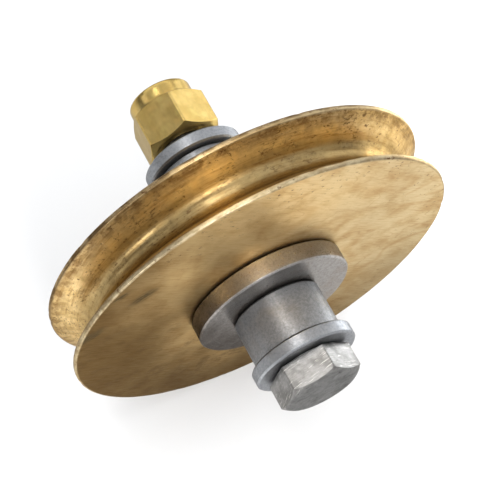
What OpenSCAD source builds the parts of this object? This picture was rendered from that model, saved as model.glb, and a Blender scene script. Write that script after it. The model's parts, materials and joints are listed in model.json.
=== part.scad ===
// Grooved cable sheave on a hex bolt, as used in a boat lift.
// The wheel turns about the Y axis. The bolt's head is towards -Y, and the lock nut is towards +Y.
// The origin is the centre of the wheel, on the axis of the bolt.

/* [Sheave] */
// Outer diameter of the wheel
sheave_d = 127; // [110:0.5:150]
// Width of the wheel, face to face
sheave_w = 20; // [18:0.5:26]
// Width of the cable groove at the rim
groove_w = 16.8; // [14:0.1:17.4]
// Depth of the cable groove below the rim
groove_depth = 10.5; // [8:0.25:13]
// Radius of the rounded bottom of the groove
groove_bottom_r = 4.4; // [3:0.1:5]
// Chamfer on the outer edge of each face
rim_chamfer = 0.6; // [0.2:0.1:1]

/* [Bushing] */
// Outer diameter of the bushing pressed into the hub
bushing_d = 22.2; // [20:0.1:26]
// Radial running clearance between the bushing and the bolt
bushing_clearance = 0.06; // [0.02:0.01:0.1]

/* [Thrust washers] */
// Outer diameter of a thrust washer
thrust_d = 51; // [44:0.5:58]
// Thickness of a thrust washer
thrust_t = 6.35; // [4:0.05:8]
// Gap on each face of a thrust washer
side_play = 0.4; // [0.3:0.05:0.8]

/* [Spacers] */
// Outer diameter of a spacer tube
spacer_d = 28.6; // [26:0.1:31]
// Length of the spacer on the head side
spacer_head_l = 15.9; // [12:0.1:24]
// Length of the spacer on the nut side
spacer_nut_l = 19; // [12:0.1:24]
// Chamfer on the ends of a spacer
spacer_chamfer = 0.7; // [0.3:0.1:1]

/* [Flat washers] */
// Outer diameter of a flat washer
washer_d = 33.4; // [32:0.1:38]
// Thickness of a flat washer
washer_t = 4.5; // [2.5:0.1:5]

/* [Bolt] */
// Diameter of the bolt, a 5/8 in size
bolt_d = 15.875; // [15.875:0.005:15.9]
// Length of the bolt under its head
bolt_l = 101.6; // [101.6:0.1:110]
// Length of the thread
thread_l = 38.1; // [34:0.1:44]
// Height of the hex head
head_h = 9.9; // [9.5:0.1:10.3]
// Width of the head and of the nut across their flats
hex_af = 23.8; // [23.4:0.1:24.4]
// Turn of the head about the bolt's axis, in degrees
head_turn = 46; // [0:1:60]

/* [Lock nut] */
// Height of the lock nut with its collar
nut_h = 20; // [19:0.1:21]
// Height of the lock nut's hex part
nut_hex_h = 14.6; // [13:0.1:15.5]
// Diameter of the round collar
collar_d = 21.6; // [21:0.1:22.5]
// Free length between the stack and the nut
end_float = 4.6; // [3:0.1:6]
// Turn of the nut about the bolt's axis, in degrees
nut_turn = 34; // [0:1:60]

/* [Hidden] */
$fn = 96;
eps = 0.01;
sheave_r = sheave_d / 2;
bolt_r = bolt_d / 2;
hex_corner_r = hex_af / 2 / cos(30);

// Clearance holes over the bolt, as radii
thrust_bore_r = bolt_r + 0.3;
spacer_bore_r = bolt_r + 0.4;
washer_bore_r = bolt_r + 0.8;
bushing_bore_r = bolt_r + bushing_clearance;

// Small edge sizes
bore_chamfer = 0.6;
thrust_chamfer = 0.5;
washer_chamfer = 0.6;

// Places along Y, from the wheel outwards
thrust_y = sheave_w / 2 + side_play;
spacer_y = thrust_y + thrust_t + side_play;
washer_head_y = -(spacer_y + spacer_head_l + washer_t);
washer_nut_y = spacer_y + spacer_nut_l;
head_play = 0.3;
head_y = washer_head_y - head_play;
nut_y = washer_nut_y + washer_t + end_float;

// Bolt head
washer_face_h = 0.5;
washer_face_r = hex_af * 0.475;
hex_chamfer_angle = 30;

// Thread, 11 turns to the inch, drawn as rings
pitch = 25.4 / 11;
thread_depth = 0.6134 * pitch;
thread_start_y = head_y + bolt_l - thread_l;
thread_rings = floor(thread_l / pitch) - 1;
thread_clearance = 0.06;
point_chamfer = 1.4;

// Nylon ring held in the nut's collar
insert_r = 9.2;
insert_h = 3.6;
collar_lip = 0.9;
collar_wall = 1.1;
collar_round = 1.8;

// Turns a shape drawn along Z so that it runs along +Y from y
module along_bolt(y) {
    translate([0, y, 0]) rotate([-90, 0, 0]) children();
}

// Half section of a ring with all four edges chamfered
module ring_section(outer_r, inner_r, length, outer_chamfer, inner_chamfer) {
    polygon([
        [inner_r, inner_chamfer],
        [inner_r + inner_chamfer, 0],
        [outer_r - outer_chamfer, 0],
        [outer_r, outer_chamfer],
        [outer_r, length - outer_chamfer],
        [outer_r - outer_chamfer, length],
        [inner_r + inner_chamfer, length],
        [inner_r, length - inner_chamfer]
    ]);
}

// A chamfered ring that starts at y
module ring(y, outer_r, inner_r, length, outer_chamfer, inner_chamfer = bore_chamfer) {
    along_bolt(y) rotate_extrude()
        ring_section(outer_r, inner_r, length, outer_chamfer, inner_chamfer);
}

// Half section of the cable groove: straight walls that run onto a round bottom
module groove_section() {
    centre_r = sheave_r - groove_depth + groove_bottom_r;
    rise = sheave_r - centre_r;
    reach = norm([groove_w / 2, rise]);
    tilt = atan2(rise, groove_w / 2) + asin(groove_bottom_r / reach);
    touch_x = centre_r - groove_bottom_r * cos(tilt);
    touch_y = groove_bottom_r * sin(tilt);
    translate([centre_r, sheave_w / 2]) circle(r = groove_bottom_r);
    translate([0, sheave_w / 2]) polygon([
        [touch_x, -touch_y],
        [sheave_r, -groove_w / 2],
        [sheave_r + groove_depth, -groove_w / 2],
        [sheave_r + groove_depth, groove_w / 2],
        [sheave_r, groove_w / 2],
        [touch_x, touch_y]
    ]);
}

module sheave() {
    color([0.80, 0.66, 0.40]) along_bolt(-sheave_w / 2) rotate_extrude($fn = 180) difference() {
        ring_section(sheave_r, bushing_d / 2, sheave_w, rim_chamfer, eps);
        groove_section();
    }
}

module bushing() {
    color([0.62, 0.45, 0.24])
        ring(-sheave_w / 2, bushing_d / 2, bushing_bore_r, sheave_w, eps);
}

module thrust_washer(y) {
    color([0.50, 0.46, 0.42])
        ring(y, thrust_d / 2, thrust_bore_r, thrust_t, thrust_chamfer);
}

module spacer(y, length) {
    color([0.60, 0.59, 0.57])
        ring(y, spacer_d / 2, spacer_bore_r, length, spacer_chamfer);
}

module flat_washer(y) {
    color([0.64, 0.65, 0.68])
        ring(y, washer_d / 2, washer_bore_r, washer_t, washer_chamfer);
}

// A hexagon with its corners turned off at one or both ends
module chamfered_hex(height, low_end, high_end) {
    drop = tan(hex_chamfer_angle);
    cut_r = hex_af * 0.475;
    depth = (hex_corner_r + eps - cut_r) * drop;
    intersection() {
        cylinder(h = height, r = hex_corner_r, $fn = 6);
        rotate_extrude() polygon([
            [0, 0],
            [low_end ? cut_r : hex_corner_r + eps, 0],
            [hex_corner_r + eps, low_end ? depth : 0],
            [hex_corner_r + eps, high_end ? height - depth : height],
            [high_end ? cut_r : hex_corner_r + eps, height],
            [0, height]
        ]);
    }
}

// Half section of thread rings: crest radius, root radius and the number of rings
module thread_section(crest_r, root_r, rings) {
    flat = pitch / 8;
    for (i = [0 : rings - 1]) translate([0, i * pitch]) polygon([
        [root_r - 1, 0],
        [root_r, flat],
        [crest_r, pitch / 2 - flat / 2],
        [crest_r, pitch / 2 + flat / 2],
        [root_r, pitch - flat],
        [root_r - 1, pitch]
    ]);
}

module hex_bolt() {
    root_r = bolt_r - thread_depth;
    tip_y = head_y + bolt_l;
    color([0.56, 0.56, 0.56]) union() {
        along_bolt(head_y - head_h) rotate([0, 0, head_turn])
            chamfered_hex(head_h - washer_face_h, true, false);
        along_bolt(head_y - washer_face_h - eps) cylinder(h = washer_face_h + eps, r = washer_face_r);
        along_bolt(head_y - eps) cylinder(h = bolt_l - thread_l + eps, r = bolt_r);
        along_bolt(thread_start_y - eps) cylinder(h = thread_l - point_chamfer + eps, r = root_r);
        along_bolt(thread_start_y) rotate_extrude() thread_section(bolt_r, root_r, thread_rings);
        along_bolt(tip_y - point_chamfer - eps)
            cylinder(h = point_chamfer + eps, r1 = root_r, r2 = root_r - point_chamfer / 2);
    }
}

module lock_nut() {
    first_ring = ceil((nut_y - thread_start_y) / pitch) - 1;
    root_r = bolt_r - thread_depth + thread_clearance;
    insert_y = nut_h - collar_lip - insert_h;
    color([0.80, 0.72, 0.45]) difference() {
        union() {
            along_bolt(nut_y) rotate([0, 0, nut_turn]) chamfered_hex(nut_hex_h, true, true);
            along_bolt(nut_y + nut_hex_h - eps) rotate_extrude() intersection() {
                translate([0, -collar_round]) union() {
                    square([collar_d / 2, nut_h - nut_hex_h]);
                    square([collar_d / 2 - collar_round, nut_h - nut_hex_h + collar_round]);
                    translate([collar_d / 2 - collar_round, nut_h - nut_hex_h])
                        circle(r = collar_round);
                }
                square([collar_d, nut_h]);
            }
        }
        along_bolt(nut_y - eps) cylinder(h = nut_h + 2 * eps, r = root_r);
        along_bolt(nut_y + insert_y) cylinder(h = insert_h, r = insert_r);
        along_bolt(nut_y + insert_y) cylinder(h = nut_h, r = insert_r - collar_wall / 2);
        along_bolt(thread_start_y + first_ring * pitch) rotate_extrude()
            thread_section(bolt_r + thread_clearance, root_r, floor(insert_y / pitch) + 2);
        along_bolt(nut_y - eps)
            cylinder(h = bore_chamfer * 2, r1 = bolt_r + bore_chamfer, r2 = bolt_r - bore_chamfer);
    }
}

module lock_nut_insert() {
    insert_y = nut_y + nut_h - collar_lip - insert_h;
    color([0.86, 0.85, 0.80])
        ring(insert_y, insert_r, bolt_r + thread_clearance, insert_h, eps, eps);
}

sheave();
bushing();
thrust_washer(-thrust_y - thrust_t);  // thrust_washer_head_side
thrust_washer(thrust_y);  // thrust_washer_nut_side
spacer(-spacer_y - spacer_head_l, spacer_head_l);  // spacer_head_side
spacer(spacer_y, spacer_nut_l);  // spacer_nut_side
flat_washer(washer_head_y);  // flat_washer_head_side
flat_washer(washer_nut_y);  // flat_washer_nut_side
hex_bolt();
lock_nut();
lock_nut_insert();
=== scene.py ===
"""Grooved bronze cable sheave on a hex bolt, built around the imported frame."""

import json
import math
import random

import bmesh
import bpy
import numpy as np
from mathutils import Matrix, Vector, noise

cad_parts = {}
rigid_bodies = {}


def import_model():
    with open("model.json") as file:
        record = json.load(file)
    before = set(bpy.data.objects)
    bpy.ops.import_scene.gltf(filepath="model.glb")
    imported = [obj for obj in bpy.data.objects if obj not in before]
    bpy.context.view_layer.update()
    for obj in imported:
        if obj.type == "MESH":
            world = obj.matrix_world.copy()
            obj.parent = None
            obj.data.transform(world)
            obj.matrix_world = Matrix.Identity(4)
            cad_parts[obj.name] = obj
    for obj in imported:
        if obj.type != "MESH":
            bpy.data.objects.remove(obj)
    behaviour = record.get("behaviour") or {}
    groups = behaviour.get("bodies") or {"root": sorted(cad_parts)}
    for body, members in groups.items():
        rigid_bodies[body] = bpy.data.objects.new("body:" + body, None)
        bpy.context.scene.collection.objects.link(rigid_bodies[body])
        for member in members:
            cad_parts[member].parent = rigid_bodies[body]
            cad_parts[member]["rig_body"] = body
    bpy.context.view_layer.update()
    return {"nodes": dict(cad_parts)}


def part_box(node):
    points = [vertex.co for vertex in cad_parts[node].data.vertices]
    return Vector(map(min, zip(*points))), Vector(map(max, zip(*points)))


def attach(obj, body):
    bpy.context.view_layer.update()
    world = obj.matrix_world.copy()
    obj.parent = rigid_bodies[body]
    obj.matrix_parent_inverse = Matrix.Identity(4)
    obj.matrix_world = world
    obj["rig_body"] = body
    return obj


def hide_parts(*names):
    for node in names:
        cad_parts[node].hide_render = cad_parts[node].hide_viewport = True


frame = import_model()

MM = 0.001

# Sizes that the frame gives
WHEEL_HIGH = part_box("sheave")[1]
WHEEL_R = WHEEL_HIGH.x
WHEEL_HALF = WHEEL_HIGH.y
BOLT_LOW, BOLT_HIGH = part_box("hex_bolt")
NUT_LOW, NUT_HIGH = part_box("lock_nut")

# Sizes inside the pieces, the same as in the CAD model
LAND_W = 1.6 * MM
GROOVE_DEPTH = 10.5 * MM
GROOVE_BOTTOM_R = 4.4 * MM
HUB_BORE_R = 11.1 * MM
BOLT_R = 7.9375 * MM
HEAD_H = 9.9 * MM
WASHER_FACE_H = 0.5 * MM
HEX_FLAT_R = 11.9 * MM
HEX_CORNER_R = HEX_FLAT_R / math.cos(math.radians(30))
HEX_FACE_R = HEX_FLAT_R * 0.95
HEAD_TURN = math.radians(46)
NUT_TURN = math.radians(34)
NUT_HEX_H = 14.6 * MM
COLLAR_R = 10.8 * MM
INSERT_R = 9.2 * MM
THREAD_PITCH = 25.4 / 11 * MM
THREAD_DEPTH = 0.6134 * THREAD_PITCH
THREAD_CLEARANCE = 0.06 * MM
THREAD_START = BOLT_HIGH.y - 38.1 * MM

# Rise of the cone that turns off a hexagon's corners, and the rounding where the cone meets the flats
HEX_CONE = math.tan(math.radians(30))
HEX_SOFT = 0.16 * MM


# ---------------------------------------------------------------- outlines

def unit(vector):
    return vector / np.linalg.norm(vector)


def fillet(before, corner, after, radius, steps=6):
    """Points of the arc that rounds one corner of an outline, with no more than half of each side."""
    a, b = unit(before - corner), unit(after - corner)
    half = math.acos(float(np.clip(a @ b, -1, 1))) / 2
    reach = min(radius / math.tan(half), 0.49 * np.linalg.norm(before - corner),
                0.49 * np.linalg.norm(after - corner))
    radius = reach * math.tan(half)
    centre = corner + unit(a + b) * radius / math.sin(half)
    start, end = corner + a * reach - centre, corner + b * reach - centre
    sweep = math.acos(float(np.clip(unit(start) @ unit(end), -1, 1)))
    arc = []
    for t in np.linspace(0, 1, steps):
        blend = (math.sin((1 - t) * sweep) * start + math.sin(t * sweep) * end) / math.sin(sweep)
        arc.append(centre + blend)
    return arc


def outline(corners, closed=True, step=1.0 * MM):
    """Turns corners (y, r, fillet radius) into points no further apart than step."""
    places = [np.array(c[:2], float) for c in corners]
    count = len(places)
    rough = []
    for i, place in enumerate(places):
        is_end = not closed and i in (0, count - 1)
        if is_end or corners[i][2] == 0:
            rough.append(place)
        else:
            rough += fillet(places[i - 1], place, places[(i + 1) % count], corners[i][2])
    if closed:
        rough.append(rough[0])
    fine = []
    for a, b in zip(rough, rough[1:]):
        parts = max(1, math.ceil(np.linalg.norm(b - a) / step))
        fine += [a + (b - a) * k / parts for k in range(parts)]
    if not closed:
        fine.append(rough[-1])
    return np.array(fine)


def hex_angles():
    """Angles round a hexagon, closer together at its six corners."""
    near = [0, 0.45, 0.9, 1.8, 3]
    sector = near + list(np.arange(5, 56, 2.5)) + [60 - a for a in reversed(near[1:])]
    return np.radians([60 * i + a for i in range(6) for a in sector])


def hex_radius(angles):
    """Distance from the axis to a hexagon's side, with the corner just broken."""
    within = np.mod(angles, math.radians(60)) - math.radians(30)
    return np.minimum(HEX_FLAT_R / np.cos(within), HEX_CORNER_R - 0.12 * MM)


def revolve(name, y, r, angles, closed=True, turn=0.0):
    """A mesh from a grid of rows (angles) and columns (places along the outline)."""
    rows, columns = r.shape
    a = (angles + turn)[:, None]
    points = np.stack([r * np.cos(a), y, -r * np.sin(a)], axis=-1).reshape(-1, 3)
    faces = []
    last = columns if closed else columns - 1
    for i in range(rows):
        here, there = i * columns, ((i + 1) % rows) * columns
        for j in range(last):
            k = (j + 1) % columns
            faces.append((here + j, here + k, there + k, there + j))
    mesh = bpy.data.meshes.new(name)
    mesh.from_pydata(points.tolist(), [], faces)
    obj = bpy.data.objects.new(name, mesh)
    bpy.context.scene.collection.objects.link(obj)
    return obj


def finish_mesh(obj, smooth_angle=30):
    """Joins the points that meet on the axis, and sets outward normals and smooth shading."""
    work = bmesh.new()
    work.from_mesh(obj.data)
    bmesh.ops.remove_doubles(work, verts=work.verts, dist=0.001 * MM)
    bmesh.ops.dissolve_degenerate(work, edges=work.edges, dist=0.0005 * MM)
    bmesh.ops.recalc_face_normals(work, faces=work.faces)
    work.to_mesh(obj.data)
    work.free()
    obj.data.shade_smooth()
    obj.data.set_sharp_from_angle(angle=math.radians(smooth_angle))
    return obj


def lathe(name, corners, count=192):
    """A turned ring with a closed outline and count faces round it."""
    profile = outline(corners)
    angles = np.linspace(0, 2 * math.pi, count, endpoint=False)
    y = np.tile(profile[:, 0], (count, 1))
    r = np.tile(profile[:, 1], (count, 1))
    return revolve(name, y, r, angles)


def revolve_runs(name, runs, angles, turn, closed=True):
    """A finished mesh from runs of columns: grids of y and of r with a row for each angle."""
    y = np.concatenate([run[0] for run in runs], axis=1)
    r = np.concatenate([run[1] for run in runs], axis=1)
    return finish_mesh(revolve(name, y, r, angles, closed, turn), smooth_angle=32)


# ---------------------------------------------------------------- wear in the shape

def vertices(obj):
    """Places of an object's vertices, one row each."""
    flat = np.empty(len(obj.data.vertices) * 3)
    obj.data.vertices.foreach_get("co", flat)
    return flat.reshape(-1, 3)


def set_vertices(obj, points):
    obj.data.vertices.foreach_set("co", points.ravel())
    obj.data.update()


def normals(obj):
    """Outward directions at an object's vertices, one row each."""
    flat = np.empty(len(obj.data.vertices) * 3)
    obj.data.vertices.foreach_get("normal", flat)
    return flat.reshape(-1, 3)


def roughen(obj, depth, size, seed):
    """Lowers the surface a little by smooth noise, so that it stays inside its true size."""
    points, outward = vertices(obj), normals(obj)
    shift = Vector((seed * 7.1, seed * 3.3, seed * 5.7))
    level = np.array([noise.noise(Vector(p) / size + shift) for p in points])
    set_vertices(obj, points - outward * (depth * (0.5 + 0.5 * level))[:, None])


def dent(obj, places):
    """Presses dents into an edge. Each place is a point, a size and a depth."""
    points, outward = vertices(obj), normals(obj)
    for place, size, depth in places:
        away = np.linalg.norm(points - place, axis=1)
        close = away < 2.5 * size
        press = depth * np.exp(-(away[close] / size) ** 2)
        points[close] -= outward[close] * press[:, None]
    set_vertices(obj, points)


def rim_dents(rng, count, radius, y, size, depth):
    """Dents at random places round a circle about the bolt's axis."""
    places = []
    for _ in range(count):
        a = rng.uniform(0, 2 * math.pi)
        where = np.array([radius * math.cos(a), y, radius * math.sin(a)])
        places.append((where, rng.uniform(*size), rng.uniform(*depth)))
    return places


# ---------------------------------------------------------------- pieces

def make_sheave():
    """The wheel: flat faces, narrow rim lands and a groove with a round bottom."""
    bottom_centre = WHEEL_R - GROOVE_DEPTH + GROOVE_BOTTOM_R
    mouth = WHEEL_HALF - LAND_W
    rise = WHEEL_R - bottom_centre
    reach = math.hypot(mouth, rise)
    tilt = math.atan2(rise, mouth) + math.asin(GROOVE_BOTTOM_R / reach)
    arc = []
    for t in np.linspace(-1, 1, 17):
        a = t * tilt
        arc.append((GROOVE_BOTTOM_R * math.sin(a), bottom_centre - GROOVE_BOTTOM_R * math.cos(a), 0))
    half, outer_round, lip_round = WHEEL_HALF, 0.75 * MM, 0.45 * MM
    corners = [(-half, HUB_BORE_R, 0), (-half, WHEEL_R, outer_round), (-mouth, WHEEL_R, lip_round)]
    corners += arc
    corners += [(mouth, WHEEL_R, lip_round), (half, WHEEL_R, outer_round), (half, HUB_BORE_R, 0)]
    obj = finish_mesh(lathe("sheave_wheel", corners, count=480))
    rng = random.Random(11)
    places = []
    for side in (-1, 1):
        edge, lip = side * half, side * mouth
        places += rim_dents(rng, 18, WHEEL_R, edge, (0.6 * MM, 1.5 * MM), (0.04 * MM, 0.2 * MM))
        places += rim_dents(rng, 22, WHEEL_R, lip, (0.5 * MM, 1.2 * MM), (0.04 * MM, 0.16 * MM))
        places += rim_dents(rng, 16, WHEEL_R - 3 * MM, lip - side * 1.2 * MM,
                            (0.8 * MM, 1.6 * MM), (0.05 * MM, 0.14 * MM))
    roughen(obj, 0.1 * MM, 9 * MM, 1)
    dent(obj, places)
    return obj


def make_ring(name, node, edge, inner_edge, play, seed):
    """A ring that fills a CAD node's box, chamfered by edge outside and by inner_edge in its bore.

    play is the gap between the bore and the bolt."""
    low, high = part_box(node)
    outer_r = high.x
    bore_r = BOLT_R + play
    soft = 0.12 * MM
    corners = [
        (low.y, bore_r + inner_edge, soft), (low.y, outer_r - edge, soft),
        (low.y + edge, outer_r, soft), (high.y - edge, outer_r, soft),
        (high.y, outer_r - edge, soft), (high.y, bore_r + inner_edge, soft),
        (high.y - inner_edge, bore_r, soft), (low.y + inner_edge, bore_r, soft),
    ]
    obj = finish_mesh(lathe(name, corners))
    roughen(obj, 0.03 * MM, 5 * MM, seed)
    rng = random.Random(seed)
    for y in (low.y, high.y):
        dent(obj, rim_dents(rng, 7, outer_r, y, (0.4 * MM, 0.9 * MM), (0.04 * MM, 0.14 * MM)))
    return obj


def thread_radius(y, angles, turn, fade=0.0, grow=0.0):
    """Radius of a right-hand thread at each angle (rows) and place along the bolt (columns).

    The thread reaches its full depth within fade of its start, and grow widens it for the nut."""
    along = y - THREAD_START
    turns = along / THREAD_PITCH - (angles[:, None] + turn) / (2 * math.pi)
    phase = np.mod(turns, 1.0)
    # 1 on a crest a fifth of the pitch wide, falling evenly to 0 at the root
    tooth = np.clip(1.25 - np.abs(phase - 0.5) * 2.5, 0, 1)
    deep = np.clip(along / fade, 0, 1) if fade > 0 else 1.0
    return BOLT_R + grow - THREAD_DEPTH * (1 - tooth) * deep


def make_bolt():
    """Hex head with a washer face, plain shank, rolled thread and a chamfered point."""
    angles = hex_angles()
    side = hex_radius(angles)[:, None]
    one = np.ones_like(side)
    base, tip = BOLT_LOW.y, BOLT_HIGH.y
    seat = base + HEAD_H
    under = seat - WASHER_FACE_H
    face_r = HEX_FACE_R * 0.97
    rise = 0.05 * MM
    reach = side - face_r
    cone_run = reach - 2 * HEX_SOFT
    out = np.linspace(0, 1, 7)[None, :]
    flat_start = base + rise + (reach - HEX_SOFT) * HEX_CONE + HEX_SOFT * 0.6
    flat_run = under - 2 * HEX_SOFT - flat_start

    # The head: end face from the axis outwards, cone, flats, and the rounded edge under them
    runs = [
        (base * np.ones((len(angles), 12)), face_r * np.linspace(0, 1, 13)[None, :-1] * one),
        (base + rise + cone_run * HEX_CONE * out, face_r + HEX_SOFT + cone_run * out),
        (flat_start + flat_run * np.linspace(0, 1, 9)[None, :], side * np.ones((1, 9))),
        (under - HEX_SOFT * np.array([[0.9, 0.0]]) * one, side - HEX_SOFT * np.array([[0.4, 1.2]])),
    ]
    shank = outline([
        (under, HEX_FACE_R + 0.1 * MM, 0), (under, HEX_FACE_R, 0.1 * MM),
        (seat, HEX_FACE_R, 0.12 * MM), (seat, BOLT_R + 0.6 * MM, 0.1 * MM),
        (seat + 0.6 * MM, BOLT_R, 0.3 * MM), (THREAD_START, BOLT_R, 0),
    ], closed=False, step=2 * MM)
    runs.append((shank[:, 0] * one, shank[:, 1] * one))

    # The thread, cut off by the point's 45 degree chamfer, and the end face back to the axis
    steps = round((tip - THREAD_START) / THREAD_PITCH * 12)
    along = np.linspace(THREAD_START, tip, steps)[None, 1:] * one
    point = BOLT_R - THREAD_DEPTH * 0.9 + (tip - along)
    runs.append((along, np.minimum(thread_radius(along, angles, HEAD_TURN, fade=3 * MM), point)))
    end = (BOLT_R - THREAD_DEPTH) * np.linspace(0.94, 0, 7)[None, :] * one
    runs.append((tip * np.ones_like(end), end))

    obj = revolve_runs("hex_bolt_steel", runs, angles, HEAD_TURN, closed=False)
    roughen(obj, 0.03 * MM, 3 * MM, 9)
    rng = random.Random(5)
    corner_y = base + 1.2 * MM
    dent(obj, rim_dents(rng, 16, HEX_CORNER_R, corner_y, (0.4 * MM, 0.9 * MM), (0.08 * MM, 0.3 * MM)))
    dent(obj, rim_dents(rng, 26, HEX_FACE_R * 0.75, base, (0.5 * MM, 1.1 * MM), (0.06 * MM, 0.16 * MM)))
    return obj


def make_nut():
    """Hex nut with both ends chamfered, a round collar with a rolled lip, and a threaded bore."""
    angles = hex_angles()
    side = hex_radius(angles)[:, None]
    one = np.ones_like(side)
    base, top = NUT_LOW.y, NUT_HIGH.y
    shoulder = base + NUT_HEX_H
    bore_edge = BOLT_R + 0.6 * MM
    face_r = HEX_FACE_R * 0.98
    root_r = COLLAR_R + 0.45 * MM
    rise = HEX_SOFT * 0.3
    cone_run = side - face_r - 2 * HEX_SOFT
    flat_start = rise + cone_run * HEX_CONE + HEX_SOFT
    out = np.linspace(0, 1, 7)[None, :]
    back = out[:, ::-1]

    # The hexagon: lower face from the bore outwards, cone, flats, and cone back to the collar
    face = bore_edge + (face_r - bore_edge) * np.linspace(0, 1, 6)[None, :]
    runs = [
        (base * one * np.ones_like(face), face * one),
        (base + rise + cone_run * HEX_CONE * out, face_r + HEX_SOFT + cone_run * out),
        (base + flat_start + (NUT_HEX_H - 2 * flat_start) * np.linspace(0, 1, 15)[None, :],
         side * np.ones((1, 15))),
        (shoulder - rise - cone_run * HEX_CONE * back,
         root_r + HEX_SOFT + (side - root_r - 2 * HEX_SOFT) * back),
    ]

    # The collar, its lip, and the pocket for the nylon ring
    lip_r = INSERT_R - 0.6 * MM
    lip_y, pocket_y = top - 1.0 * MM, top - 4.5 * MM
    collar = outline([
        (shoulder, root_r, 0), (shoulder, COLLAR_R, 0.4 * MM), (top, COLLAR_R, 2.0 * MM),
        (top, lip_r, 0.45 * MM), (lip_y, lip_r, 0.2 * MM), (lip_y, INSERT_R, 0),
        (pocket_y, INSERT_R, 0), (pocket_y, BOLT_R + THREAD_CLEARANCE, 0),
    ], closed=False, step=0.9 * MM)
    runs.append((collar[:, 0] * one, collar[:, 1] * one))

    steps = round((NUT_HEX_H + 0.8 * MM) / THREAD_PITCH * 10)
    along = np.linspace(top - 4.6 * MM, base + 0.7 * MM, steps)[None, :] * one
    runs.append((along, thread_radius(along, angles, NUT_TURN, grow=THREAD_CLEARANCE)))

    obj = revolve_runs("lock_nut_gold", runs, angles, NUT_TURN)
    rng = random.Random(8)
    corner_y = base + 1.2 * MM
    dent(obj, rim_dents(rng, 8, HEX_CORNER_R, corner_y, (0.3 * MM, 0.7 * MM), (0.05 * MM, 0.2 * MM)))
    return obj


# Rings on each side of the wheel: start of the node's name, start of the piece's name, outer chamfer,
# play on the bolt, and what is added to the side's seed
SIDE_RINGS = [
    ("thrust_washer_", "ring_", 0.5 * MM, 0.3 * MM, 0),
    ("spacer_", "tube_", 0.7 * MM, 0.4 * MM, 10),
    ("flat_washer_", "ring_", 0.55 * MM, 0.8 * MM, 20),
]


def build_pieces():
    """Every piece with the CAD node that it stands for."""
    close_fit = 0.06 * MM
    made = [
        (make_sheave(), "sheave"),
        (make_ring("bushing_bronze", "bushing", 0.1 * MM, 0.4 * MM, close_fit, 21), "bushing"),
        (make_bolt(), "hex_bolt"),
        (make_nut(), "lock_nut"),
        (make_ring("lock_nut_ring", "lock_nut_insert", 0.2 * MM, 0.3 * MM, close_fit, 22),
         "lock_nut_insert"),
    ]
    for side_seed, end in enumerate(("head_side", "nut_side"), start=31):
        for kind, prefix, edge, play, more in SIDE_RINGS:
            node = kind + end
            made.append((make_ring(prefix + node, node, edge, 0.6 * MM, play, side_seed + more), node))
    return made


# ---------------------------------------------------------------- materials

# Turns that lay the face's grain and its smudges along x in the texture's own axes
GRAIN_TURN = (0, -0.785, 0)
SMUDGE_TURN = (0, 0.35, 0)
# Dark smudges on the head-side face: x, z and length
SMUDGES = [(-38.5 * MM, 34.5 * MM, 13 * MM), (-45 * MM, 41 * MM, 8 * MM), (-56 * MM, 24 * MM, 13 * MM)]


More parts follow.
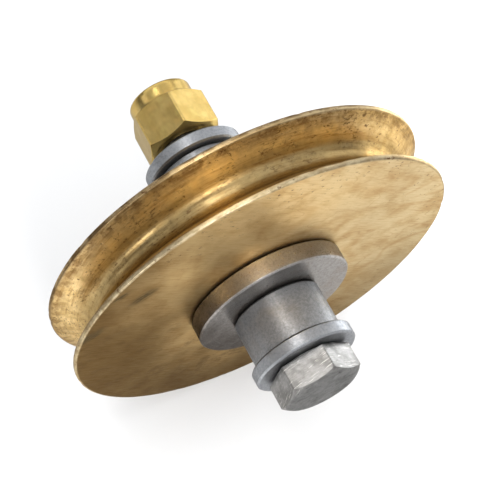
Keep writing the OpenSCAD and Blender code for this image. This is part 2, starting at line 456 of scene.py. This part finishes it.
class Nodes:
    """A short way to write one material's node tree. Places are in metres, on the object."""

    def __init__(self, name):
        self.material = bpy.data.materials.new(name)
        self.material.use_nodes = True
        self.tree = self.material.node_tree
        self.tree.nodes.clear()
        self.place = self.add("ShaderNodeTexCoord").outputs["Object"]
        axes = self.add("ShaderNodeSeparateXYZ", {0: self.place})
        self.x, self.y, self.z = axes.outputs[0], axes.outputs[1], axes.outputs[2]
        square = self.maths("ADD", self.times(self.x, self.x), self.times(self.z, self.z))
        self.radius = self.maths("SQRT", square)

    def add(self, kind, inputs=None, **settings):
        """A new node. inputs are links or constants by socket, and settings are the node's own."""
        node = self.tree.nodes.new(kind)
        for key, value in settings.items():
            setattr(node, key, value)
        for key, value in (inputs or {}).items():
            if isinstance(value, bpy.types.NodeSocket):
                self.tree.links.new(value, node.inputs[key])
            else:
                node.inputs[key].default_value = value
        return node

    def maths(self, operation, a, b=0.0):
        return self.add("ShaderNodeMath", {0: a, 1: b}, operation=operation).outputs[0]

    def times(self, a, b):
        return self.maths("MULTIPLY", a, b)

    def step(self, value, low, high, start=0.0, end=1.0):
        """Goes smoothly from start to end as value goes from low to high."""
        inputs = {"Value": value, "From Min": low, "From Max": high, "To Min": start, "To Max": end}
        return self.add("ShaderNodeMapRange", inputs, interpolation_type="SMOOTHSTEP").outputs["Result"]

    def mix(self, factor, a, b, blend_type="MIX"):
        node = self.add("ShaderNodeMix", data_type="RGBA", blend_type=blend_type, clamp_factor=True)
        for index, value in ((0, factor), (6, a), (7, b)):
            if isinstance(value, bpy.types.NodeSocket):
                self.tree.links.new(value, node.inputs[index])
            else:
                node.inputs[index].default_value = value
        return node.outputs[2]

    def noise(self, size, detail=4.0, roughness=0.55, stretch=(1, 1, 1), turn=(0, 0, 0), shift=0.0):
        """Noise from 0 to 1 in blobs about size metres across, longer where stretch is above 1."""
        scale = tuple(1 / size / s for s in stretch)
        turned = self.add("ShaderNodeMapping", {"Vector": self.place, "Rotation": turn})
        placed = self.add("ShaderNodeMapping", {"Vector": turned.outputs[0], "Scale": scale,
                                                "Location": (shift, shift * 0.7, -shift)})
        inputs = {"Vector": placed.outputs[0], "Scale": 1.0, "Detail": detail,
                  "Roughness": roughness}
        return self.add("ShaderNodeTexNoise", inputs).outputs["Fac"]

    def ridge(self, value, middle, width):
        """1 where value is at middle, falling to 0 within width on either side: thin curved lines."""
        away = self.maths("ABSOLUTE", self.maths("SUBTRACT", value, middle))
        return self.step(away, 0.0, width, 1.0, 0.0)

    def smudge(self, x, z, length):
        """A smear on the wheel's face at a place across it, about length long, broken into streaks."""
        offset = self.add("ShaderNodeMapping", {"Vector": self.place, "Location": (-x, 0, -z)})
        turned = self.add("ShaderNodeMapping", {"Vector": offset.outputs[0], "Rotation": SMUDGE_TURN})
        narrow = self.add("ShaderNodeMapping", {"Vector": turned.outputs[0],
                                                "Scale": (2 / length, 0, 4 / length)})
        away = self.add("ShaderNodeVectorMath", {0: narrow.outputs[0]}, operation="LENGTH").outputs["Value"]
        streaks = self.noise(0.7 * MM, 3, 0.6, stretch=(5, 1, 1), turn=SMUDGE_TURN, shift=x / MM)
        return self.times(self.step(away, 0.25, 1.0, 1.0, 0.0), self.step(streaks, 0.3, 0.54, 0.0, 0.85))

    def turned_lines(self, pitch, length, detail=3.0, shift=0.0):
        """Noise in lines round the bolt's axis, pitch metres apart and about length metres long."""
        scale = (1 / length, 1 / pitch, 1 / length)
        placed = self.add("ShaderNodeMapping", {"Vector": self.place, "Scale": scale,
                                                "Location": (shift, 0, shift)})
        across = self.times(self.radius, 1 / pitch)
        inputs = {"Vector": placed.outputs[0], "W": across, "Scale": 1.0, "Detail": detail,
                  "Roughness": 0.6}
        return self.add("ShaderNodeTexNoise", inputs, noise_dimensions="4D").outputs["Fac"]

    def bump(self, height, depth, before=None):
        """Normals of a surface raised by height times depth, on top of an earlier bump."""
        inputs = {"Height": height, "Distance": depth, "Strength": 1.0}
        if before is not None:
            inputs["Normal"] = before
        return self.add("ShaderNodeBump", inputs).outputs["Normal"]

    def metal(self, colour, roughness, normal, glancing=(0.6, 0.6, 0.6, 1), metallic=1.0, **constants):
        """The finished material. glancing tints the reflections at grazing angles."""
        inputs = {"Base Color": colour, "Roughness": roughness, "Normal": normal, "Metallic": metallic,
                  "Specular Tint": glancing}
        for key, value in constants.items():
            inputs[key.replace("_", " ")] = value
        shader = self.add("ShaderNodeBsdfPrincipled", inputs)
        self.add("ShaderNodeOutputMaterial", {"Surface": shader.outputs[0]})
        return self.material


def rgb(red, green, blue):
    """A colour from its usual 0 to 255 numbers, as the shader's linear values."""
    def linear(c):
        c = c / 255
        return c / 12.92 if c <= 0.04045 else ((c + 0.055) / 1.055) ** 2.4
    return (linear(red), linear(green), linear(blue), 1.0)


def wheel_face(n):
    """Ground face: straw at the middle, with painted shade that browns it to -x and at the foot, and grain,
    swirls and smudges.

    Returns its colour and its grain."""
    # Painted shade: dark brown towards -x, straw in the middle, greyer straw towards +x
    drift = n.maths("SUBTRACT", n.noise(28 * MM, 3, 0.5), 0.5)
    across = n.maths("ADD", n.x, n.times(drift, 50 * MM))
    height = n.maths("ADD", n.z, n.times(drift, 50 * MM))
    colour = n.mix(n.step(across, -54 * MM, 6 * MM), rgb(94, 72, 44), rgb(226, 196, 142))
    colour = n.mix(n.step(across, -12 * MM, 45 * MM), colour, rgb(196, 178, 142))
    # Painted shade at the foot, heaviest towards -x
    foot = n.step(height, -58 * MM, 4 * MM, 1.0, 0.0)
    colour = n.mix(n.times(foot, n.step(n.x, -10 * MM, 60 * MM, 0.9, 0.5)), colour, rgb(80, 60, 38))

    grain = n.noise(0.35 * MM, 3, 0.6, stretch=(18, 1, 1), turn=GRAIN_TURN, shift=5.0)
    colour = n.mix(n.step(grain, 0.42, 0.72, 0.0, 0.22), colour, rgb(200, 176, 134), "MULTIPLY")
    cloud = n.noise(9 * MM, 6, 0.62, stretch=(1.3, 1, 1), turn=GRAIN_TURN, shift=3.0)
    colour = n.mix(n.step(cloud, 0.4, 0.7, 0.0, 0.55), colour, rgb(200, 172, 128), "MULTIPLY")
    # Smoky brown mottling, kept to the lower left, where it is painted shade
    smoke = n.noise(5 * MM, 6, 0.72, stretch=(1.4, 1, 1), turn=(0, -0.2, 0), shift=71.0)
    lower_left_shade = n.step(n.maths("ADD", n.x, n.z), -70 * MM, 0, 1.0, 0.0)
    colour = n.mix(n.times(lower_left_shade, n.step(smoke, 0.5, 0.64, 0.0, 0.7)), colour, rgb(74, 52, 32))
    swirl = n.noise(17 * MM, 1.6, 0.4, stretch=(2.1, 1, 1), turn=(0, -0.45, 0), shift=8.0)
    bands = n.maths("ADD", n.ridge(swirl, 0.44, 0.035), n.ridge(swirl, 0.56, 0.045))
    fading = n.step(n.noise(12 * MM, 2, 0.5, shift=33.0), 0.36, 0.6)
    fading = n.times(fading, n.step(n.x, -20 * MM, 20 * MM, 0.2, 1.0))
    colour = n.mix(n.times(fading, n.times(bands, 0.36)), colour, rgb(210, 176, 124), "MULTIPLY")
    line = n.noise(9 * MM, 2, 0.45, stretch=(2.6, 1, 1), turn=(0, -0.7, 0), shift=61.0)
    line = n.ridge(line, 0.5, 0.016)
    colour = n.mix(n.times(fading, n.times(line, 0.28)), colour, rgb(196, 156, 104), "MULTIPLY")
    head_side = n.step(n.y, -1 * MM, 1 * MM, 1.0, 0.0)
    for x, z, length in SMUDGES:
        colour = n.mix(n.times(head_side, n.smudge(x, z, length)), colour, rgb(52, 44, 34))
    return colour, grain


def wheel_groove(n, lines):
    """Groove: warm mottled walls, grime at the mouth, olive bottom, turned lines and dark specks."""
    deep = n.step(n.radius, WHEEL_R - GROOVE_DEPTH, WHEEL_R - 5.0 * MM, 1.0, 0.0)
    mottle = n.noise(4 * MM, 6, 0.64, shift=2.0)
    patch = n.noise(15 * MM, 4, 0.55, shift=14.0)
    wall = n.mix(n.step(mottle, 0.34, 0.68), rgb(226, 198, 144), rgb(192, 163, 110))
    wall = n.mix(n.step(patch, 0.52, 0.64, 0.0, 0.75), wall, rgb(230, 196, 132))
    wall = n.mix(n.step(patch, 0.32, 0.45, 0.6, 0.0), wall, rgb(158, 132, 92))
    grime = n.noise(2 * MM, 6, 0.74, stretch=(1.6, 1, 1.6), shift=23.0)
    mouth = n.step(n.radius, WHEEL_R - 5.0 * MM, WHEEL_R - 1.2 * MM)
    wall = n.mix(n.times(mouth, n.step(grime, 0.4, 0.6, 0.22, 0.85)), wall, rgb(124, 94, 56))
    floor = n.mix(n.step(grime, 0.42, 0.62), rgb(146, 124, 82), rgb(122, 102, 66))
    colour = n.mix(n.times(deep, 0.8), wall, floor)
    colour = n.mix(n.step(lines, 0.46, 0.7, 0.0, 0.55), colour, rgb(192, 168, 134), "MULTIPLY")
    colour = n.mix(n.step(n.x, 20 * MM, 55 * MM, 0.0, 0.8), colour, rgb(200, 190, 172), "MULTIPLY")
    specks = n.step(n.turned_lines(0.55 * MM, 1.3 * MM, 4, 17.0), 0.5, 0.64)
    crowd = n.step(n.noise(9 * MM, 4, 0.6, shift=11.0), 0.44, 0.64)
    return n.mix(n.times(n.times(specks, crowd), 0.75), colour, rgb(76, 54, 32)), mottle


def wheel_bronze():
    """Bronze of the wheel: its ground faces, its groove, and the chipped, rubbed edges between them, with
    painted shade on the edges towards +x.
    """
    n = Nodes("wheel_bronze")
    side = n.maths("ABSOLUTE", n.y)
    in_groove = n.step(side, WHEEL_HALF - 1.9 * MM, WHEEL_HALF - 1.45 * MM, 1.0, 0.0)
    on_face = n.maths("SUBTRACT", 1.0, in_groove)
    lines = n.turned_lines(0.7 * MM, 10 * MM)
    face, grain = wheel_face(n)
    groove, mottle = wheel_groove(n, lines)
    colour = n.mix(in_groove, face, groove)

    on_edge = n.step(n.radius, WHEEL_R - 0.9 * MM, WHEEL_R - 0.3 * MM)
    edge_wear_and_shade = n.times(on_edge, n.step(side, WHEEL_HALF - 1.5 * MM, WHEEL_HALF - 0.7 * MM, 0.35, 0.85))
    pebbles = n.noise(1.6 * MM, 4, 0.6, stretch=(1.5, 1, 1.5), shift=6.0)
    edge = n.mix(n.step(pebbles, 0.38, 0.66), rgb(204, 188, 154), rgb(168, 149, 114))
    edge = n.mix(n.step(n.y, -4 * MM, 4 * MM, 0.0, 0.5), edge, rgb(142, 112, 74))
    # Painted shade: the rim edges darken towards +x, to hold down the bright reflections there
    edge = n.mix(n.step(n.x, 10 * MM, 55 * MM, 0.0, 0.85), edge, rgb(112, 96, 74))
    chips = n.step(n.noise(2.2 * MM, 5, 0.66, stretch=(2.2, 1, 2.2), shift=44.0), 0.46, 0.56)
    chips = n.times(chips, n.step(n.y, -4 * MM, 4 * MM, 0.35, 0.9))
    edge = n.mix(chips, edge, rgb(88, 68, 46))
    colour = n.mix(edge_wear_and_shade, colour, edge)
    near_rim = n.step(n.radius, WHEEL_R - 22 * MM, WHEEL_R - 2 * MM, 0.15, 1.0)
    flecks = n.noise(1.3 * MM, 5, 0.66, stretch=(1.6, 1, 1), turn=(0, -0.6, 0), shift=31.0)
    flecks = n.step(flecks, 0.58, 0.66)
    clusters = n.step(n.noise(9 * MM, 3, 0.5, shift=37.0), 0.38, 0.54)
    colour = n.mix(n.times(n.times(flecks, clusters), n.times(near_rim, 0.85)), colour, rgb(92, 62, 38))

    roughness = n.maths("ADD", n.times(n.step(grain, 0.3, 0.75, 0.34, 0.48), on_face),
                        n.times(n.step(mottle, 0.35, 0.7, 0.29, 0.42), in_groove))
    normal = n.bump(n.times(grain, on_face), 0.01 * MM)
    normal = n.bump(n.times(lines, in_groove), 0.06 * MM, normal)
    normal = n.bump(n.times(pebbles, on_edge), 0.04 * MM, normal)
    normal = n.bump(n.times(mottle, in_groove), 0.05 * MM, normal)
    normal = n.bump(n.noise(2.5 * MM, 4, 0.6, shift=40.0), 0.025 * MM, normal)
    return n.metal(colour, roughness, normal, (0.85, 0.74, 0.58, 1))


def turned_steel(name, light, dark, stain, rough=(0.37, 0.52), seed=0.0, side_shade=None):
    """Satin steel: two greys in fine mottling, faint turned lines, and a stain in patches.

    The last argument, if given, is a dark colour painted on towards one side and the foot as painted shade."""
    n = Nodes(name)
    mottle = n.noise(0.8 * MM, 5, 0.7, shift=seed)
    cloud = n.noise(8 * MM, 5, 0.6, shift=seed + 4)
    lines = n.turned_lines(0.4 * MM, 7 * MM, shift=seed)
    colour = n.mix(n.step(mottle, 0.24, 0.76), light, dark)
    colour = n.mix(n.step(cloud, 0.46, 0.68, 0.0, 0.55), colour, stain)
    # Painted shade: the dark colour comes on towards -x and the foot
    if side_shade:
        side = n.maths("ADD", n.times(n.x, 0.8), n.times(n.z, 0.6))
        side = n.maths("ADD", side, n.times(n.maths("SUBTRACT", cloud, 0.5), 30 * MM))
        colour = n.mix(n.step(side, -24 * MM, 4 * MM, 0.92, 0.0), colour, side_shade)
    colour = n.mix(n.step(lines, 0.55, 0.75, 0.0, 0.25), colour, light)
    marks = n.ridge(n.noise(5 * MM, 3, 0.6, shift=seed + 20), 0.5, 0.01)
    colour = n.mix(n.times(marks, 0.3), colour, rgb(66, 62, 58))
    pits = n.step(n.noise(0.7 * MM, 3, 0.6, shift=seed + 9), 0.68, 0.76)
    colour = n.mix(n.times(pits, 0.55), colour, rgb(48, 44, 40))
    roughness = n.step(mottle, 0.3, 0.7, rough[0], rough[1])
    normal = n.bump(lines, 0.008 * MM)
    normal = n.bump(mottle, 0.006 * MM, normal)
    normal = n.bump(cloud, 0.05 * MM, normal)
    return n.metal(colour, roughness, normal)


def bolt_steel():
    """Ground grey steel: slanting scratches on the head's flats, pits and dark patches on its end."""
    n = Nodes("bolt_steel")
    on_end = n.step(n.y, BOLT_LOW.y + 0.3 * MM, BOLT_LOW.y + 1.0 * MM, 1.0, 0.0)
    cloud = n.noise(5 * MM, 5, 0.6, shift=1.0)
    fine = n.noise(0.3 * MM, 3, 0.65, stretch=(7, 1, 7), turn=(0.12, 0, 0.08), shift=2.0)
    streak = n.noise(0.28 * MM, 2, 0.5, stretch=(13, 1, 13), turn=(0.1, 0, -0.1), shift=7.0)
    colour = n.mix(n.step(cloud, 0.35, 0.65), rgb(154, 152, 149), rgb(120, 118, 115))
    colour = n.mix(n.step(fine, 0.45, 0.7, 0.0, 0.35), colour, rgb(112, 108, 103))
    colour = n.mix(n.step(streak, 0.6, 0.7, 0.0, 0.75), colour, rgb(206, 203, 196))
    patch = n.step(n.noise(4.5 * MM, 6, 0.6, shift=12.0), 0.34, 0.7)
    worn_end = n.mix(patch, rgb(124, 123, 121), rgb(94, 93, 91))
    colour = n.mix(n.times(on_end, 0.9), colour, worn_end)
    pits = n.step(n.noise(0.9 * MM, 3, 0.6, shift=3.0), 0.62, 0.7)
    colour = n.mix(n.times(n.times(pits, on_end), 0.8), colour, rgb(46, 42, 39))
    roughness = n.step(fine, 0.3, 0.7, 0.38, 0.52)
    normal = n.bump(fine, 0.015 * MM)
    normal = n.bump(n.times(pits, on_end), -0.06 * MM, normal)
    normal = n.bump(cloud, 0.04 * MM, normal)
    return n.metal(colour, roughness, normal)


def gold_plating():
    """Yellow passivated plating: glossy, slightly cloudy, greener and pinker in patches."""
    n = Nodes("gold_plating")
    cloud = n.noise(7 * MM, 4, 0.55, shift=5.0)
    tint = n.noise(4 * MM, 3, 0.5, shift=15.0)
    fine = n.noise(0.5 * MM, 3, 0.6, stretch=(1, 8, 1), shift=25.0)
    colour = n.mix(n.step(cloud, 0.35, 0.65), rgb(206, 177, 110), rgb(190, 160, 92))
    colour = n.mix(n.step(tint, 0.5, 0.75, 0.0, 0.35), colour, rgb(216, 196, 122))
    colour = n.mix(n.step(tint, 0.26, 0.45, 0.3, 0.0), colour, rgb(224, 184, 112))
    colour = n.mix(n.step(fine, 0.5, 0.75, 0.0, 0.3), colour, rgb(196, 166, 96))
    roughness = n.step(fine, 0.3, 0.7, 0.17, 0.27)
    normal = n.bump(cloud, 0.04 * MM)
    normal = n.bump(fine, 0.006 * MM, normal)
    return n.metal(colour, roughness, normal)


def nylon():
    """Off-white nylon, a little uneven."""
    n = Nodes("nylon")
    cloud = n.noise(3 * MM, 4, 0.6)
    colour = n.mix(n.step(cloud, 0.35, 0.65), rgb(226, 222, 206), rgb(208, 202, 182))
    roughness = n.step(cloud, 0.3, 0.7, 0.38, 0.5)
    normal = n.bump(n.noise(0.8 * MM, 3, 0.6), 0.02 * MM)
    return n.metal(colour, roughness, normal, (1, 1, 1, 1), metallic=0.0, Subsurface_Weight=0.15)


def finishes():
    """The material and a slot name for each CAD node."""
    spacer = (rgb(156, 156, 157), rgb(124, 125, 126), rgb(140, 135, 129))
    zinc = (rgb(160, 161, 163), rgb(134, 136, 139), rgb(144, 144, 145))
    brown = (rgb(172, 168, 164), rgb(140, 135, 130), rgb(146, 136, 126))
    # The thrust washers' last colour is painted shade towards -x and the foot
    thrust = turned_steel("thrust_steel", *brown, (0.26, 0.4), 2.0, rgb(66, 58, 50))
    bushing = (rgb(176, 128, 70), rgb(140, 96, 50), rgb(110, 76, 42))
    bronze = turned_steel("bushing_bronze_metal", *bushing, seed=6.0)
    zinc_rough = (0.34, 0.5)
    return {
        "sheave": (wheel_bronze(), "bronze_wheel"),
        "bushing": (bronze, "bronze_bushing"),
        "thrust_washer_head_side": (thrust, "thrust_steel"),
        "thrust_washer_nut_side": (thrust, "thrust_steel"),
        "spacer_head_side": (turned_steel("spacer_steel_head", *spacer, seed=1.0), "spacer_steel"),
        "spacer_nut_side": (turned_steel("spacer_steel_nut", *spacer, seed=12.0), "spacer_steel"),
        "flat_washer_head_side": (turned_steel("washer_zinc_head", *zinc, zinc_rough, 3.0), "washer_zinc"),
        "flat_washer_nut_side": (turned_steel("washer_zinc_nut", *zinc, zinc_rough, 14.0), "washer_zinc"),
        "hex_bolt": (bolt_steel(), "bolt_steel"),
        "lock_nut": (gold_plating(), "nut_gold"),
        "lock_nut_insert": (nylon(), "insert_nylon"),
    }


# ---------------------------------------------------------------- camera, floor and lights

# Room light at the horizon
HORIZON_LEVEL = 0.35
# Room light above the horizon: direction, where it starts and ends along it, and its level
SKY_GRADIENTS = [
    ((0.78, 0.3, 0.5), -0.7, 0.9, 0.7),
    ((0, 0.2, 0.98), 0.0, 0.9, 0.17),
    ((0, -0.8, 0.6), -0.2, 0.9, 0.42),
]
CAMERA_AZIMUTH = math.radians(-27.2)
CAMERA_ELEVATION = math.radians(65.6)
CAMERA_AWAY = 6.775 * WHEEL_R
CAMERA_ASIDE = 0.073 * WHEEL_R
CAMERA_RAISED = 0.179 * WHEEL_R
CAMERA_LENS = 100.8
FACE_CENTRE = Vector((0, -WHEEL_HALF, 0))
FLOOR_HALF = 6.0
FLOOR_GREY = 0.75


def camera_axes():
    """Right, up and backwards of a level camera at the view's azimuth and elevation."""
    a, e = CAMERA_AZIMUTH, CAMERA_ELEVATION
    right = Vector((math.cos(a), math.sin(a), 0))
    up = Vector((-math.sin(a) * math.sin(e), math.cos(a) * math.sin(e), math.cos(e)))
    back = Vector((math.sin(a) * math.cos(e), -math.cos(a) * math.cos(e), math.sin(e)))
    return right, up, back


def add_camera():
    """The photograph's view: aimed past the near face's centre, so that the frame holds all of it."""
    right, up, back = camera_axes()
    data = bpy.data.cameras.new("camera")
    data.lens = CAMERA_LENS
    data.sensor_width = 36
    data.clip_start = 0.01
    camera = bpy.data.objects.new("camera", data)
    bpy.context.scene.collection.objects.link(camera)
    place = FACE_CENTRE + back * CAMERA_AWAY - right * CAMERA_ASIDE + up * CAMERA_RAISED
    camera.matrix_world = Matrix.Translation(place) @ Matrix((right, up, back)).transposed().to_4x4()
    bpy.context.scene.camera = camera


def add_softbox(name, place, size, power, colour=(1, 1, 1), along=(0, 0, 1), aim=(0, 0, 0)):
    """An area light aimed at a point. Its second size lies near the direction along."""
    place = Vector(place)
    back = (place - Vector(aim)).normalized()
    side = Vector(along).cross(back).normalized()
    data = bpy.data.lights.new(name, "AREA")
    data.shape = "RECTANGLE"
    data.size, data.size_y = size
    data.energy = power
    data.color = colour
    light = bpy.data.objects.new(name, data)
    bpy.context.scene.collection.objects.link(light)
    axes = Matrix((side, back.cross(side), back)).transposed().to_4x4()
    light.matrix_world = Matrix.Translation(place) @ axes
    light.visible_camera = False


def add_wash(name, place, size, power, colour=(1, 1, 1)):
    """A square light that faces straight down and brightens the floor, which the metal mirrors."""
    below = (place[0], place[1], -1)
    add_softbox(name, place, (size, size), power, colour, (0, 1, 0), below)


def add_surroundings():
    """Room light: one level round the horizon, and above it the sum of a few soft gradients."""
    world = bpy.data.worlds.new("studio")
    world.use_nodes = True
    tree = world.node_tree
    direction = tree.nodes.new("ShaderNodeTexCoord").outputs["Generated"]

    def ramp(axis, low, high, level):
        """Goes from 0 to level as the direction turns towards an axis."""
        towards = tree.nodes.new("ShaderNodeVectorMath")
        towards.operation = "DOT_PRODUCT"
        towards.inputs[1].default_value = axis
        tree.links.new(direction, towards.inputs[0])
        curve = tree.nodes.new("ShaderNodeMapRange")
        curve.interpolation_type = "SMOOTHSTEP"
        curve.inputs["From Min"].default_value = low
        curve.inputs["From Max"].default_value = high
        curve.inputs["To Max"].default_value = level
        tree.links.new(towards.outputs["Value"], curve.inputs["Value"])
        return curve.outputs["Result"]

    total = ramp(*SKY_GRADIENTS[0])
    for gradient in SKY_GRADIENTS[1:]:
        plus = tree.nodes.new("ShaderNodeMath")
        tree.links.new(total, plus.inputs[0])
        tree.links.new(ramp(*gradient), plus.inputs[1])
        total = plus.outputs[0]
    blend = tree.nodes.new("ShaderNodeMix")
    tree.links.new(ramp((0, 0, 1), 0.0, 0.4, 1.0), blend.inputs[0])
    blend.inputs[2].default_value = HORIZON_LEVEL
    tree.links.new(total, blend.inputs[3])
    background = tree.nodes["Background"]
    background.inputs["Color"].default_value = (0.95, 0.97, 1.0, 1)
    tree.links.new(blend.outputs[0], background.inputs["Strength"])
    bpy.context.scene.world = world


def add_floor():
    """A pale matt square under the wheel's rim."""
    mesh = bpy.data.meshes.new("floor")
    half = FLOOR_HALF
    corners = [(-half, -half, 0), (half, -half, 0), (half, half, 0), (-half, half, 0)]
    mesh.from_pydata(corners, [], [(0, 1, 2, 3)])
    floor = bpy.data.objects.new("floor", mesh)
    floor.location.z = -WHEEL_R
    bpy.context.scene.collection.objects.link(floor)
    material = bpy.data.materials.new("floor_white")
    material.use_nodes = True
    shader = material.node_tree.nodes["Principled BSDF"]
    shader.inputs["Base Color"].default_value = (FLOOR_GREY, FLOOR_GREY, FLOOR_GREY, 1)
    shader.inputs["Roughness"].default_value = 0.6
    floor.data.materials.append(material)


def add_studio():
    """Room light, softboxes round the wheel, and washes on the parts of the floor that it mirrors."""
    bpy.context.scene.view_settings.view_transform = "Standard"
    add_surroundings()
    cool = (0.92, 0.96, 1.0)
    add_softbox("strip", (-0.085, 0.1, 0.5), (0.1, 0.4), 0.88, along=(0, 1, 0))
    add_softbox("front_top", (-0.066, -0.375, 0.392), (0.14, 0.15), 1.3)
    add_softbox("window", (1.0, 0.3, 0.14), (0.72, 0.52), 1.75, cool)
    add_softbox("right_high", (0.84, 0.4, 0.8), (0.6, 0.6), 0.48)
    add_softbox("left_fill", (-1.08, -0.8, 0.4), (0.72, 0.6), 1.9)
    add_softbox("left_high", (-1.12, 0.5, 0.68), (0.6, 0.4), 0.8)
    add_softbox("left_low", (-1.12, 0.24, 0.14), (0.32, 0.32), 0.5)
    add_softbox("glint", (-1.12, -0.78, 0.446), (0.25, 0.25), 2.6)
    add_wash("wash_right", (0.265, 0.045, -0.005), 0.16, 1.6, cool)
    add_wash("wash_front", (0.11, -0.08, 0.03), 0.12, 0.05)
    add_wash("wash_front_left", (-0.14, -0.13, 0.0), 0.12, 0.16)
    add_wash("wash_back", (0.0, 0.3, 0.12), 0.3, 0.2)


def main():
    looks = finishes()
    for piece, node in build_pieces():
        material, slot = looks[node]
        piece.data.materials.append(material)
        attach(piece, frame["nodes"][node]["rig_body"])
        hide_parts(node)
    add_floor()
    add_studio()
    add_camera()


main()
